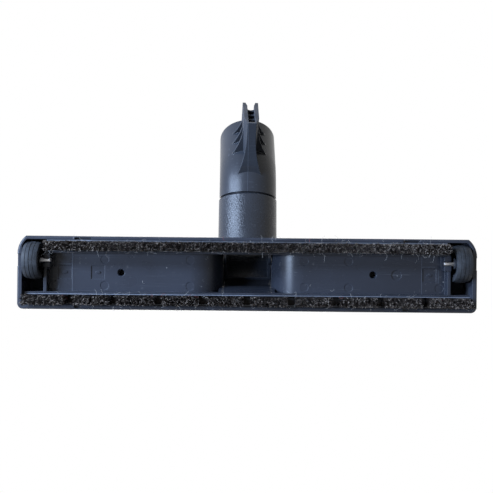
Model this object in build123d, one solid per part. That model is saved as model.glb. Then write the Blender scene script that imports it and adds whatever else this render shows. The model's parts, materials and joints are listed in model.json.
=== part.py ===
from build123d import *
import os
from math import asin, atan2, cos, degrees, radians, sin, tan

# Hard-floor vacuum brush head, 300 mm wide, standing on its brushes and wheels.
# Millimetres. X runs along the head, the front is -Y, the neck leaves at the rear (+Y), the floor is z = 0.

# Head shell
HEAD_LENGTH = 300.0
HEAD_DEPTH = 48.0
FRONT_CORNER = 4.0
SWEEP_LENGTH = 5.5
SWEEP_DEPTH = 11.5
RIM_Z = 8.0
RIM_ROUND = 1.2
PARTING_Z = 16.0
SHOULDER_Z = 22.0
SHOULDER_ROUND = 4.0
WING_TOP_Z = 32.0
WALL = 2.2
END_WALL = 3.2
LIP_WIDTH = 0.8
TONGUE_HEIGHT = 2.0
TONGUE_THICK = 0.9
PARTING_GAP = 0.15

# Sole plate and suction channel
PLATE_Z = 18.0
PLATE_THICK = 2.0
CHANNEL_WALL = 1.0
CHANNEL_EDGE_Z = 11.2
ROOF_THICK = 1.5
MOUTH_HALF = 38.0
RAMP_RADIUS = 21.5
RAMP_THICK = 2.0
GUIDE_HOLE_X = 84.0
GUIDE_HOLE_R = 2.1
GUIDE_CHAMFER = 0.5
GATE_X = 121.5
INNER_GATE_X = 99.5
GATE_SIDE = 9.0
GATE_DEPTH = 0.5
GATE_MARK = 3.4
CLOCK_R = 3.3
EJECTOR_R = 2.8
EJECTOR_DEPTH = 0.2
EJECTOR_Y = 8.7
EJECTOR_LEFT_X = (38.0, 95.0)
EJECTOR_RIGHT_X = (38.0, 67.6)
EJECTOR_END_X = 128.0
CATCH_X = 107.0
CATCH_LENGTH = 11.0
CATCH_HEIGHT = 3.0
CATCH_SKIN = 0.9

# Brush strips
CARRIER_HEIGHT = 4.2
FRONT_CARRIER_WIDTH = 7.1
REAR_CARRIER_WIDTH = 7.5
CARRIER_CLEAR = 0.15
GROOVE_DEPTH = 2.6
RAIL_HEIGHT = 1.1
RAIL_DEPTH = 0.5
RAIL_Z = 13.0
RAIL_CLEAR = 0.15
BRISTLE_WIDTH = 5.9
BRISTLE_FLANGE = 0.55
FRONT_BRISTLE_INSET = 5.0
REAR_BRISTLE_INSET = 1.1
TUFT_PITCH = 28.6
TUFT_GAP = 6.0
TUFT_GAP_COUNT = 9

# Wheels
WHEEL_R = 12.5
WHEEL_WIDTH = 10.0
WHEEL_END_INSET = 10.0
WHEEL_REAR_INSET = 16.0
WHEEL_LIFT = 0.1
TYRE_DEPTH = 3.6
TYRE_CROWN = 0.9
TREAD_GROOVE = 0.4
HUB_WIDTH = 8.6
HUB_WEB = 2.6
HUB_RIM = 1.6
HUB_BOSS_R = 3.6
AXLE_R = 1.8
AXLE_SEAT_CLEAR = 0.05
AXLE_RUN_CLEAR = 0.09
AXLE_SNAP = 2.9
BAY_LENGTH = 16.4
BAY_WALL = 2.0
BAY_WALL_TOP = 19.0
AXLE_BLOCK = 2.4
AXLE_BLOCK_WIDTH = 9.0
AXLE_BLOCK_DROP = 1.0
END_NOTCH_WIDTH = 8.0
END_NOTCH_Z = 9.8

# Tilting neck
PIVOT_REAR_INSET = 11.0
PIVOT_Z = 40.2
REST_TILT = 12.0
TILT_RANGE = 26.0
DRUM_R = 21.5
DRUM_HALF = 16.5
DRUM_WALL = 2.0
DRUM_LAP = 2.0
RUN_CLEAR = 0.4
PIN_R = 2.5
PIN_GRIP = 0.02
PIN_CLEAR = 0.08
EAR_THICK = 3.6
EAR_R = 6.4
NECK_R = 20.5
NECK_BORE_R = 17.4
NECK_LENGTH = 38.8
NECK_SHOULDER = 7.1
NECK_FLARE = 2.4
DRUM_BOSS_R = 8.0
NECK_SIDE_CLEAR = 0.5
NECK_EDGE = 0.8
WINDOW_FRONT = 150.0
FELT_THICK = 2.1
FELT_GAP = 0.3
FELT_ARC = 12.0
FELT_WIDTH = 1.2
FELT_LAP = 3.0

# Hump of the cover over the drum
HUMP_CHEEK = 3.6
HUMP_CAVITY_GAP = 2.3
HUMP_FLARE_R = 28.0
HUMP_FLARE_Z = 48.0
HUMP_ROUND = 3.0
CHEEK_REAR_INSET = 1.0
CHEEK_REAR_Z = 44.0
LIP_MARGIN = 3.5

# Swivel elbow
REST_SWIVEL = 3.0
SWIVEL_GAP = 0.9
ELBOW_R = 20.2
ELBOW_WALL = 2.5
ELBOW_LEAD = 8.5
BEND_RADIUS = 40.0
BEND = 25.0
SOCKET_STRAIGHT = 28.0
SOCKET_BORE_R = 17.6
SOCKET_DEPTH = 27.0
SOCKET_LEAD_IN = 0.8
SPIGOT_R = 18.1
SPIGOT_WALL = 2.0
SPIGOT_LENGTH = 13.5
SPIGOT_CLEAR = 0.3
RING_DEPTH = 8.0
RING_THICK = 1.6
RING_REACH = 0.9
RING_CLEAR = 0.15
RING_SPLIT = 5.0
SEAL_THICK = 1.2

# Parking hook under the elbow
HOOK_PEAK = (-8.2, 50.0)
HOOK_TIP = (24.3, 39.5)
HOOK_FOOT = (24.0, 16.0)
RAMP_FOOT = (-21.8, 13.0)
HOOK_HALF = 5.4
HOOK_ROOT_HALF = 5.0
HOOK_NOSE_HALF = 3.0
HOOK_NOSE = 7.7
HOOK_SLOT_HALF = 2.3
HOOK_TIP_BEVEL = 1.1
HOOK_TIP_LENGTH = 5.0
HOOK_RAMP = 1.9
HOOK_RAMP_FOOT_HALF = 8.7
HOOK_PLATE = 1.4
HOOK_PLATES = 3
HOOK_PITCH = 10.0
HOOK_RUNG_PITCH = 6.5
HOOK_FIRST_PLATE = -3.0
HOOK_FIRST_RUNG = 1.4
HOOK_RUNG_DROP = 1.0
HOOK_RUNG_DIP = 1.3
HOOK_PLATE_SINK = 0.35
GUSSET_HALF = 12.6
GUSSET_FOOT = 15.4
GUSSET_DROP = 1.5

# Screws under the brush strips
SCREW_X = (60.0, 114.0)
SCREW_R = 1.5
SCREW_HEAD_R = 2.7
SCREW_HEAD = 1.7
SCREW_CLEAR = 0.1
SCREW_BOSS_R = 3.6
SCREW_SEAT = 2.0
SCREW_LENGTH = 5.4
PILOT_SPARE = 0.4

# How far cutting tools reach past a face
OVERCUT = 1.0

# Worked-out sizes
half_length = HEAD_LENGTH / 2
half_depth = HEAD_DEPTH / 2
wheel_x = half_length - WHEEL_END_INSET
wheel_y = half_depth - WHEEL_REAR_INSET
pivot_y = half_depth - PIVOT_REAR_INSET
cheek_rear_y = half_depth - CHEEK_REAR_INSET
wall_face = half_depth - WALL
lip_face = wall_face - LIP_WIDTH
carrier_top = CHANNEL_EDGE_Z + CARRIER_HEIGHT
roof_z = carrier_top + CARRIER_CLEAR
roof_top = roof_z + ROOF_THICK
wheel_z = WHEEL_R + WHEEL_LIFT
bay_face = half_length - BAY_LENGTH
bay_wall_x = bay_face - BAY_WALL
rear_bristle_half = bay_wall_x - REAR_BRISTLE_INSET
front_bristle_half = half_length - FRONT_BRISTLE_INSET
ear_face = DRUM_HALF + RUN_CLEAR
ear_out = ear_face + EAR_THICK
ramp_top = PLATE_Z + RAMP_RADIUS - RAMP_THICK * 2
neck_gate = NECK_R + NECK_SIDE_CLEAR
hump_half = neck_gate + HUMP_CHEEK
seat_r = DRUM_R + RUN_CLEAR
felt_r = DRUM_R + FELT_GAP + FELT_THICK
hump_r = felt_r + WALL
neck_side = degrees(asin(NECK_R / DRUM_R))
drum_rear = neck_side - DRUM_LAP
drum_web = degrees(DRUM_WALL / DRUM_R)
lip_angle = REST_TILT + TILT_RANGE + neck_side + LIP_MARGIN
rear_lip_angle = REST_TILT - neck_side
window_rear = 360 + rear_lip_angle - FELT_LAP - TILT_RANGE
channel_front = lip_face - FRONT_CARRIER_WIDTH - 2 * CARRIER_CLEAR - CHANNEL_WALL
channel_rear = wall_face - REAR_CARRIER_WIDTH - 2 * CARRIER_CLEAR - CHANNEL_WALL
front_center = -(channel_front + CHANNEL_WALL + lip_face) / 2
rear_center = (channel_rear + CHANNEL_WALL + wall_face) / 2
front_carrier_half = half_length - END_WALL - CARRIER_CLEAR
bristle_root_z = CHANNEL_EDGE_Z + GROOVE_DEPTH
spigot_end = NECK_LENGTH - SPIGOT_LENGTH
elbow_start = NECK_LENGTH + SWIVEL_GAP
bend_start = elbow_start + ELBOW_LEAD


def block(x0, x1, y0, y1, z0, z1):
    """Box between two corners."""
    middle = Pos((x0 + x1) / 2, (y0 + y1) / 2, (z0 + z1) / 2)
    return middle * Box(abs(x1 - x0), abs(y1 - y0), abs(z1 - z0))


def along_x(profile, x0, x1):
    """Profile drawn in (Y, Z), run from x0 to x1."""
    return Pos(x0, 0, 0) * extrude(Plane.YZ * profile, x1 - x0)


def along_y(profile, y0, y1):
    """Profile drawn in (X, Z), run from y0 to y1."""
    return Pos(0, y0, 0) * extrude(Plane.XZ * profile, y1 - y0, dir=(0, 1, 0))


def rod_x(y, z, radius, x0, x1):
    """Round bar along X."""
    return Pos((x0 + x1) / 2, y, z) * Rot(0, 90, 0) * Cylinder(radius, x1 - x0)


def post(x, y, radius, z0, z1):
    """Upright round bar."""
    return Pos(x, y, (z0 + z1) / 2) * Cylinder(radius, z1 - z0)


def both_ends(shape):
    """The shape and its mirror image at the other end of the head."""
    return shape + mirror(shape, Plane.YZ)


def polar(angle, radius):
    """Point (Y, Z) round the tilt pivot, the angle measured up from the rear."""
    turn = radians(angle)
    return (pivot_y + radius * cos(turn), PIVOT_Z + radius * sin(turn))


def head_outline(inset=0.0):
    """Plan of the head: tight front corners and long swept rear corners."""
    front = Line((0, -half_depth), (half_length - FRONT_CORNER, -half_depth))
    corner_middle = (half_length - FRONT_CORNER, FRONT_CORNER - half_depth)
    corner = CenterArc(corner_middle, FRONT_CORNER, -90, 90)
    end = Line(corner @ 1, (half_length, half_depth - SWEEP_DEPTH))
    sweep_end = (half_length - SWEEP_LENGTH, half_depth)
    swept = TangentArc(end @ 1, sweep_end, tangent=(0, 1))
    back = Line(swept @ 1, (0, half_depth))
    half = front + corner + end + swept + back
    face = make_face(half + mirror(half, Plane.YZ))
    return offset(face, -inset) if inset else face


def upright(profile, z0, z1):
    """Plan profile run from z0 to z1."""
    return Pos(0, 0, z0) * extrude(profile, z1 - z0)


def axle_seat(x0, x1):
    """Downward-open snap slot for a wheel axle, cut between x0 and x1."""
    seat = rod_x(wheel_y, wheel_z, AXLE_R + AXLE_SEAT_CLEAR, x0, x1)
    half = AXLE_SNAP / 2
    return seat + block(x0, x1, wheel_y - half, wheel_y + half, 0, wheel_z)


def screw_places():
    """Centres (X, Y) of the screws hidden above the brush strips."""
    return [(side * x, y) for y in (front_center, rear_center) for x in SCREW_X for side in (-1, 1)]


def rail(y_face, reach, half):
    """Guide rail on a channel wall, from y_face by reach across the channel."""
    return block(-half, half, y_face, y_face + reach, RAIL_Z, RAIL_Z + RAIL_HEIGHT)


def rim():
    """Outer wall of the base with its rounded lower edge and the tongue that locates the cover."""
    body = upright(head_outline(), RIM_Z, PARTING_Z)
    body = fillet(body.edges().group_by(Axis.Z)[0], RIM_ROUND)
    inner_half = half_length - END_WALL
    body -= upright(head_outline(WALL) & Rectangle(2 * inner_half, HEAD_DEPTH), 0, PARTING_Z + WALL)
    ring = head_outline(WALL - TONGUE_THICK) - head_outline(WALL)
    return body + upright(ring, PARTING_Z - WALL, PARTING_Z + TONGUE_HEIGHT)


def strip_channels():
    """The two channels that take the brush carriers, each with a roof, an inner wall and guide rails."""
    front_end = half_length - WALL / 2
    wall_top = PLATE_Z + PLATE_THICK
    front_inner = channel_front + CHANNEL_WALL
    rear_inner = channel_rear + CHANNEL_WALL
    body = block(-front_end, front_end, -front_inner, -channel_front, CHANNEL_EDGE_Z, wall_top)
    body += block(-front_end, front_end, -wall_face - WALL / 2, -channel_front, roof_z, roof_top)
    body += block(-front_end, front_end, -wall_face - WALL / 2, -lip_face, RIM_Z + RIM_ROUND, roof_top)
    body += block(-bay_face, bay_face, channel_rear, rear_inner, CHANNEL_EDGE_Z, wall_top)
    body += block(-bay_face, bay_face, channel_rear, wall_face + WALL / 2, roof_z, roof_top)
    body += rail(-front_inner, -RAIL_DEPTH, front_end) + rail(-lip_face, RAIL_DEPTH, front_end)
    body += rail(rear_inner, RAIL_DEPTH, bay_wall_x) + rail(wall_face, -RAIL_DEPTH, bay_wall_x)
    inside = upright(head_outline(), 0, PARTING_Z) + upright(head_outline(WALL), 0, wall_top)
    return body & inside


def sole_plate():
    """Flat ceiling of the suction channel with the bell-mouthed ramps up to the neck."""
    top = PLATE_Z + PLATE_THICK
    plate = block(-bay_face, bay_face, -channel_front, channel_rear, PLATE_Z, top)
    plate -= block(-MOUTH_HALF, MOUTH_HALF, -channel_front, channel_rear, 0, top + WALL)
    centre_z = PLATE_Z + RAMP_RADIUS
    ring = Pos(MOUTH_HALF, centre_z) * (Circle(RAMP_RADIUS) - Circle(RAMP_RADIUS - RAMP_THICK))
    reach = MOUTH_HALF - ear_face
    sector = Pos((ear_face + MOUTH_HALF) / 2, (PLATE_Z + ramp_top) / 2) * Rectangle(reach, ramp_top - PLATE_Z)
    ramp = along_y(ring & sector, -channel_front - CHANNEL_WALL, channel_rear + CHANNEL_WALL)
    return plate + both_ends(ramp)


def throat_walls():
    """Ears beside the drum that hold the pivot pins, and the leaning wall in front of the mouth."""
    stem = Pos(pivot_y, (PIVOT_Z + roof_z) / 2) * Rectangle(2 * EAR_R, PIVOT_Z - roof_z)
    ear = along_x(stem + Pos(pivot_y, PIVOT_Z) * Circle(EAR_R), ear_face, ear_out)
    ear -= below_ramp()
    lean = polar(180, seat_r + RUN_CLEAR)[0]
    outline = Polyline(
        (-channel_front - CHANNEL_WALL, PLATE_Z),
        (-channel_front, PLATE_Z),
        (lean, ramp_top),
        (lean - CHANNEL_WALL, ramp_top),
        close=True,
    )
    front = along_x(make_face(outline), -ear_face - RAMP_THICK, ear_face + RAMP_THICK)
    foot_z = PLATE_Z + RAMP_RADIUS / 4
    foot = block(-MOUTH_HALF, MOUTH_HALF, -channel_front - CHANNEL_WALL, -channel_front, PLATE_Z, foot_z)
    return both_ends(ear) + front + foot


def below_ramp():
    """Space under the ramp, kept open from the mouth to the drum."""
    centre_z = PLATE_Z + RAMP_RADIUS
    corner = Pos(MOUTH_HALF / 2, centre_z / 2) * Rectangle(MOUTH_HALF, centre_z)
    open_side = corner - Pos(MOUTH_HALF, centre_z) * Circle(RAMP_RADIUS)
    return along_y(open_side, -channel_front, channel_rear)


def wheel_bays():
    """Walls of the wheel bays with the blocks that hold the inner axle ends."""
    wall = block(bay_wall_x, bay_face, -channel_front, wall_face, CHANNEL_EDGE_Z, BAY_WALL_TOP)
    half = AXLE_BLOCK_WIDTH / 2
    inner = bay_wall_x - AXLE_BLOCK
    holder = block(inner, bay_face, wheel_y - half, wheel_y + half, CHANNEL_EDGE_Z - AXLE_BLOCK_DROP, PLATE_Z + PLATE_THICK)
    rear_clear = block(bay_wall_x - OVERCUT, bay_face + OVERCUT, channel_rear, wall_face, 0, roof_z)
    return both_ends(wall + holder - rear_clear)


def plate_marks():
    """Moulding marks in the plate: gate recesses, a date insert and ejector pin rounds."""
    floor = PLATE_Z + GATE_DEPTH
    cuts = both_ends(gate_recess(GATE_X))
    cuts += gate_recess(INNER_GATE_X)
    cuts += post(-INNER_GATE_X, 0, CLOCK_R, PLATE_Z - OVERCUT, floor)
    rounds = [(x, y) for x in EJECTOR_LEFT_X for y in (-EJECTOR_Y, EJECTOR_Y)]
    rounds += [(-x, y) for x in EJECTOR_RIGHT_X for y in (-EJECTOR_Y, EJECTOR_Y)]
    rounds += [(x, -EJECTOR_Y) for x in (-EJECTOR_END_X, EJECTOR_END_X)]
    for x, y in rounds:
        cuts += post(x, y, EJECTOR_R, PLATE_Z - OVERCUT, PLATE_Z + EJECTOR_DEPTH)
    return cuts


def gate_recess(x):
    """Square sink round a moulding gate, with the gate's oval stub left standing."""
    half = GATE_SIDE / 2
    sink = block(x - half, x + half, -half, half, PLATE_Z - OVERCUT, PLATE_Z + GATE_DEPTH)
    stub = upright(Pos(x, 0) * Ellipse(GATE_MARK / 2, GATE_MARK / 4), PLATE_Z - OVERCUT, PLATE_Z + GATE_DEPTH)
    return sink - stub


def base_housing():
    body = rim() + strip_channels() + sole_plate() + throat_walls() + wheel_bays()
    boss_top = roof_top + SCREW_SEAT
    for x, y in screw_places():
        body += post(x, y, SCREW_BOSS_R, roof_z, boss_top)
    seat_top = boss_top - ROOF_THICK
    for x, y in screw_places():
        body -= post(x, y, SCREW_HEAD_R + SCREW_CLEAR, 0, seat_top)
        body -= post(x, y, SCREW_R + SCREW_CLEAR, 0, boss_top + OVERCUT)
    body -= rod_x(pivot_y, PIVOT_Z, seat_r, -ear_face, ear_face)
    body -= rod_x(pivot_y, PIVOT_Z, PIN_R + PIN_GRIP, -hump_half, hump_half)
    end_face = half_length - END_WALL
    notch_half = END_NOTCH_WIDTH / 2
    notch = block(end_face - OVERCUT, half_length + OVERCUT, wheel_y - notch_half, wheel_y + notch_half, 0, END_NOTCH_Z)
    seats = axle_seat(bay_wall_x - AXLE_BLOCK - OVERCUT, bay_face + OVERCUT)
    seats += rod_x(wheel_y, wheel_z, AXLE_R + AXLE_SEAT_CLEAR, end_face - OVERCUT, half_length + OVERCUT)
    body -= both_ends(notch + seats)
    for x in (-GUIDE_HOLE_X, GUIDE_HOLE_X):
        body -= post(x, 0, GUIDE_HOLE_R, 0, PLATE_Z + PLATE_THICK + OVERCUT)
        sink = Pos(x, 0, PLATE_Z + GUIDE_CHAMFER / 2)
        body -= sink * Cone(GUIDE_HOLE_R + GUIDE_CHAMFER, GUIDE_HOLE_R, GUIDE_CHAMFER)
    for x in (-CATCH_X, CATCH_X):
        half = CATCH_LENGTH / 2
        for y0, y1 in ((-half_depth + CATCH_SKIN, -lip_face), (wall_face, half_depth - CATCH_SKIN)):
            body -= block(x - half, x + half, y0, y1, 0, RIM_Z + CATCH_HEIGHT)
    return body - plate_marks()


def wing_profile(inset=0.0):
    """Cross-section (Y, Z) of the cover's wings: upright walls under a domed top."""
    foot = PARTING_Z - inset - OVERCUT
    left = Line((-half_depth, foot), (-half_depth, SHOULDER_Z))
    dome = ThreePointArc((-half_depth, SHOULDER_Z), (0, WING_TOP_Z), (half_depth, SHOULDER_Z))
    right = Line((half_depth, SHOULDER_Z), (half_depth, foot))
    face = make_face(left + dome + right + Line((half_depth, foot), (-half_depth, foot)))
    return offset(face, -inset) if inset else face


def wings(foot):
    """Domed wings of the cover, rounded along their whole upper edge."""
    body = along_x(wing_profile(), -half_length, half_length) & upright(head_outline(), foot, WING_TOP_Z + OVERCUT)
    dome = body.faces().sort_by(Axis.Z)[-1]
    return fillet(dome.edges(), SHOULDER_ROUND)


def hump(foot):
    """Hump over the drum, rounded along the edges of its front slope."""
    body = along_x(hump_side(), -HEAD_LENGTH, HEAD_LENGTH) & along_y(hump_front(), -HEAD_DEPTH, HEAD_DEPTH)
    body &= upright(head_outline(), foot, hump_r + PIVOT_Z + OVERCUT)
    lip_y = polar(lip_angle, hump_r)[0]
    slope = body.edges().filter_by(lambda e: max((e @ 0).Y, (e @ 1).Y) < lip_y + OVERCUT)
    slope = slope.filter_by(lambda e: abs((e @ 0.5).X) > hump_half - OVERCUT and (e @ 0.5).Z > SHOULDER_Z)
    return fillet(slope, HUMP_ROUND)


def hump_side(inset=0.0):
    """Side view (Y, Z) of the hump: a slope up to a rim round the drum, with cheeks falling to the rear."""
    foot = PARTING_Z - OVERCUT
    front = half_depth - inset
    round_edge = Pos(pivot_y, PIVOT_Z) * Circle(hump_r - inset)
    bottom = Pos(0, (foot + SHOULDER_Z - inset) / 2) * Rectangle(2 * front, SHOULDER_Z - inset - foot)
    hull = make_hull(round_edge.edges() + bottom.edges())
    lip_y, lip_z = polar(lip_angle, hump_r)
    top = hump_r + PIVOT_Z + OVERCUT
    rear = cheek_rear_y - inset
    keep = Polyline(
        (-HEAD_DEPTH, foot),
        (-HEAD_DEPTH, top),
        (lip_y, top),
        (lip_y, lip_z),
        (rear, CHEEK_REAR_Z),
        (rear, foot),
        (-HEAD_DEPTH, foot),
    )
    return hull & make_face(keep)


def hump_front(inset=0.0):
    """Front view (X, Z) of the hump: upright cheeks flaring down into the wings."""
    foot = PARTING_Z - OVERCUT
    top = hump_r + PIVOT_Z + OVERCUT
    half = hump_half - inset
    radius = HUMP_FLARE_R + inset
    flare = CenterArc((half + radius, HUMP_FLARE_Z), radius, 180, 90)
    edges = Line((0, top), (half, top)) + Line((half, top), (half, HUMP_FLARE_Z)) + flare
    edges += Line(flare @ 1, (half + radius, foot)) + Line((half + radius, foot), (0, foot))
    return make_face(edges + mirror(edges, Plane.YZ))


def neck_way(grow=0.0):
    """Space behind the lip that the neck sweeps, cut through the cover's hump."""
    below = radians(REST_TILT - 90)
    drop = NECK_R + RUN_CLEAR + grow
    start = (pivot_y + drop * cos(below), PIVOT_Z + drop * sin(below))
    reach = HEAD_DEPTH * 2
    along = radians(REST_TILT)
    far = (start[0] + reach * cos(along), start[1] + reach * sin(along))
    outline = Polyline(
        (pivot_y, PIVOT_Z),
        polar(lip_angle, reach),
        (far[0], PIVOT_Z + reach),
        far,
        start,
        (pivot_y, PIVOT_Z),
    )
    return along_x(make_face(outline), -neck_gate, neck_gate)


def top_cover():
    foot = PARTING_Z + PARTING_GAP
    outer = wings(foot) + hump(foot)
    inner_plan = upright(head_outline(WALL), 0, WING_TOP_Z + OVERCUT)
    hollow = along_x(wing_profile(WALL), -half_length, half_length) & inner_plan
    hollow += upright(head_outline(WALL), foot - OVERCUT, SHOULDER_Z - WALL)
    cavity = along_x(hump_side(WALL), -HEAD_LENGTH, HEAD_LENGTH) & along_y(hump_front(WALL), -HEAD_DEPTH, HEAD_DEPTH)
    hollow += cavity & block(-HEAD_LENGTH, HEAD_LENGTH, -HEAD_DEPTH, HEAD_DEPTH, 0, ramp_top + HUMP_CAVITY_GAP)
    rabbet = upright(head_outline(WALL - TONGUE_THICK - PARTING_GAP), foot - OVERCUT, PARTING_Z + TONGUE_HEIGHT + PARTING_GAP)
    body = outer - hollow - rabbet
    body -= rod_x(pivot_y, PIVOT_Z, felt_r, -ear_face, ear_face)
    body -= rod_x(pivot_y, PIVOT_Z, EAR_R + RUN_CLEAR, -neck_gate, neck_gate)
    body -= neck_way()
    body -= rear_felt_bed()
    body += cover_pillars(outer)
    foot = roof_top + SCREW_SEAT
    for x, y in screw_places():
        tip = foot + SCREW_LENGTH - ROOF_THICK + PILOT_SPARE
        body -= post(x, y, SCREW_R + SCREW_CLEAR / 2, foot - OVERCUT, tip)
    return body


def cover_pillars(outer):
    """Screw pillars and hollow guide pillars that hang from the cover's roof."""
    foot = roof_top + SCREW_SEAT + PARTING_GAP / 3
    pillars = None
    for x, y in screw_places():
        pillar = post(x, y, SCREW_BOSS_R, foot, WING_TOP_Z)
        pillars = pillar if pillars is None else pillars + pillar
    guide_foot = PLATE_Z + PLATE_THICK + PARTING_GAP
    for x in (-GUIDE_HOLE_X, GUIDE_HOLE_X):
        pillar = post(x, 0, GUIDE_HOLE_R + WALL, guide_foot, WING_TOP_Z)
        pillars += pillar - post(x, 0, GUIDE_HOLE_R, guide_foot - OVERCUT, WING_TOP_Z - WALL - OVERCUT)
    return pillars & outer


def carrier(center, width, half, bristle_y):
    """Extruded brush back: a grooved bar with a slot along each side for the channel's rails."""
    y0, y1 = center - width / 2, center + width / 2
    body = block(-half, half, y0, y1, CHANNEL_EDGE_Z, carrier_top)
    grip = BRISTLE_WIDTH / 2
    body -= block(-half - OVERCUT, half + OVERCUT, bristle_y - grip, bristle_y + grip, 0, bristle_root_z)
    low, high = RAIL_Z - RAIL_CLEAR, RAIL_Z + RAIL_HEIGHT + RAIL_CLEAR
    slot = RAIL_DEPTH + RAIL_CLEAR - CARRIER_CLEAR
    body -= block(-half - OVERCUT, half + OVERCUT, y0 - OVERCUT, y0 + slot, low, high)
    body -= block(-half - OVERCUT, half + OVERCUT, y1 - slot, y1 + OVERCUT, low, high)
    return body


def bristle_bar(x0, x1, bristle_y):
    """Plain bar for one run of bristles, from its root in the carrier to the floor."""
    grip = BRISTLE_WIDTH / 2
    return block(x0, x1, bristle_y - grip, bristle_y + grip, 0, bristle_root_z)


def front_bristles(bristle_y):
    """Runs of bristles parted by even gaps."""
    first = -(TUFT_GAP_COUNT - 1) / 2 * TUFT_PITCH
    gaps = [first + i * TUFT_PITCH for i in range(TUFT_GAP_COUNT)]
    starts = [-front_bristle_half] + [x + TUFT_GAP / 2 for x in gaps]
    stops = [x - TUFT_GAP / 2 for x in gaps] + [front_bristle_half]
    return Compound([bristle_bar(x0, x1, bristle_y) for x0, x1 in zip(starts, stops)])


def turned(profile, side):
    """Profile drawn as (radius, along), turned round a wheel's axle line."""
    ring = revolve(Plane.XZ * profile, Axis.Z)
    return Pos(side * wheel_x, wheel_y, wheel_z) * Rot(0, side * 90, 0) * ring


def wheel_hub(side):
    """Moulded hub: a rim and a bored boss joined by a thin web."""
    rim_r = WHEEL_R - TYRE_DEPTH
    half = HUB_WIDTH / 2
    face = Pos(rim_r / 2, 0) * Rectangle(rim_r, HUB_WIDTH)
    ring_width = rim_r - HUB_RIM - HUB_BOSS_R
    ring_middle = HUB_BOSS_R + ring_width / 2
    for way in (-1, 1):
        depth = half - HUB_WEB / 2
        face -= Pos(ring_middle, way * (half - depth / 2)) * Rectangle(ring_width, depth)
    bore = AXLE_R + AXLE_RUN_CLEAR
    face -= Pos(bore / 2, 0) * Rectangle(bore, HUB_WIDTH)
    return turned(face, side)


def tyre(side):
    """Rubber tyre with a crowned tread, three grooves round it and rounded shoulders."""
    half = WHEEL_WIDTH / 2
    bore = WHEEL_R - TYRE_DEPTH
    shoulder = WHEEL_R - TYRE_CROWN
    tread = ThreePointArc((shoulder, -half), (WHEEL_R, 0), (shoulder, half))
    sides = Line((shoulder, half), (bore, half)) + Line((bore, half), (bore, -half))
    face = make_face(tread + sides + Line((bore, -half), (shoulder, -half)))
    for along in (-WHEEL_WIDTH / 4, 0, WHEEL_WIDTH / 4):
        face -= Pos(WHEEL_R, along) * Rectangle(2 * TREAD_GROOVE, TREAD_GROOVE)
    return turned(face, side)


def axle(side):
    inner = bay_wall_x - AXLE_BLOCK
    outer = half_length - CATCH_SKIN
    ends = sorted((side * inner, side * outer))
    pin = rod_x(wheel_y, wheel_z, AXLE_R, *ends)
    return chamfer(pin.edges(), AXLE_R / 5)


def in_neck(shape):
    """From the neck's own frame, pivot at the origin and neck along +Y, to its place at rest."""
    return Pos(0, pivot_y, PIVOT_Z) * Rot(REST_TILT, 0, 0) * shape


def neck_rod(radius, y0, y1):
    """Round bar along the neck's axis, in the neck's own frame."""
    return Pos(0, (y0 + y1) / 2, 0) * Rot(90, 0, 0) * Cylinder(radius, y1 - y0)


def neck_sector(start, stop, half):
    """Wedge round the pivot between two angles of the rest pose, in the neck's own frame."""
    reach = DRUM_R * 2
    points = [(0, 0)]
    for share in (0, 0.5, 1):
        turn = radians(start + share * (stop - start) - REST_TILT)
        points.append((reach * cos(turn), reach * sin(turn)))
    return along_x(make_face(Polyline(*points, close=True)), -half, half)


def widening(half, wide):
    """Block round the neck, upright at rest, that widens behind the drum from one half width to another."""
    far = NECK_SHOULDER + NECK_FLARE
    reach = NECK_LENGTH + DRUM_R
    edge = [(half, -reach), (half, NECK_SHOULDER), (wide, far), (wide, reach)]
    points = edge + [(-x, y) for x, y in reversed(edge)]
    return Rot(-REST_TILT, 0, 0) * upright(make_face(Polyline(*points, close=True)), -reach, reach)


def behind_drum(half_angle):
    """Wedge on both sides of the neck's axis, where the tube alone goes on behind the drum."""
    return neck_sector(REST_TILT - half_angle, REST_TILT + half_angle, DRUM_HALF + OVERCUT)


def lower_neck():
    """Tilting neck: a hollow drum open to the mouth, with pin holes, and a tube that takes the elbow."""
    drum = rod_x(0, 0, DRUM_R, -DRUM_HALF, DRUM_HALF) - behind_drum(drum_rear)
    tube = neck_rod(NECK_R, 0, NECK_LENGTH)
    tube = chamfer(tube.edges().group_by(Axis.Y)[-1], NECK_EDGE)
    inner_half = DRUM_HALF - DRUM_WALL
    body = drum + (tube & widening(DRUM_HALF, NECK_R + OVERCUT))
    body -= rod_x(0, 0, DRUM_R - DRUM_WALL, -inner_half, inner_half) - behind_drum(drum_rear + drum_web)
    body -= neck_rod(NECK_BORE_R, 0, NECK_LENGTH + OVERCUT) & widening(inner_half, NECK_BORE_R + OVERCUT)
    window = neck_sector(WINDOW_FRONT, window_rear, DRUM_HALF + OVERCUT)
    body -= window - rod_x(0, 0, DRUM_BOSS_R, -DRUM_HALF, DRUM_HALF)
    body -= neck_rod(SPIGOT_R + SPIGOT_CLEAR, spigot_end - SEAL_THICK - RING_CLEAR, NECK_LENGTH + OVERCUT)
    ring_near, ring_far = ring_span(RING_CLEAR)
    body -= neck_rod(SPIGOT_R + RING_REACH + RING_CLEAR, ring_near, ring_far)
    body -= rod_x(0, 0, PIN_R + PIN_CLEAR, -hump_half, hump_half)
    return in_neck(body)


def pivot_pin(side):
    """Steel pin pressed into an ear, on which the drum turns."""
    ends = sorted((side * (DRUM_HALF - DRUM_WALL + RUN_CLEAR / 4), side * ear_out))
    pin = rod_x(pivot_y, PIVOT_Z, PIN_R, *ends)
    return chamfer(pin.edges(), PIN_R / 8)


def elbow_path():
    """Centre line of the elbow in the neck's own frame, drawn in (Y, Z)."""
    lead = Line((elbow_start, 0), (bend_start, 0))
    bend = CenterArc((bend_start, BEND_RADIUS), BEND_RADIUS, -90, BEND)
    turn = radians(BEND)
    start = bend @ 1
    stop = start + Vector(SOCKET_STRAIGHT * cos(turn), SOCKET_STRAIGHT * sin(turn))
    return lead, bend, Line(start, stop)


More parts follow.
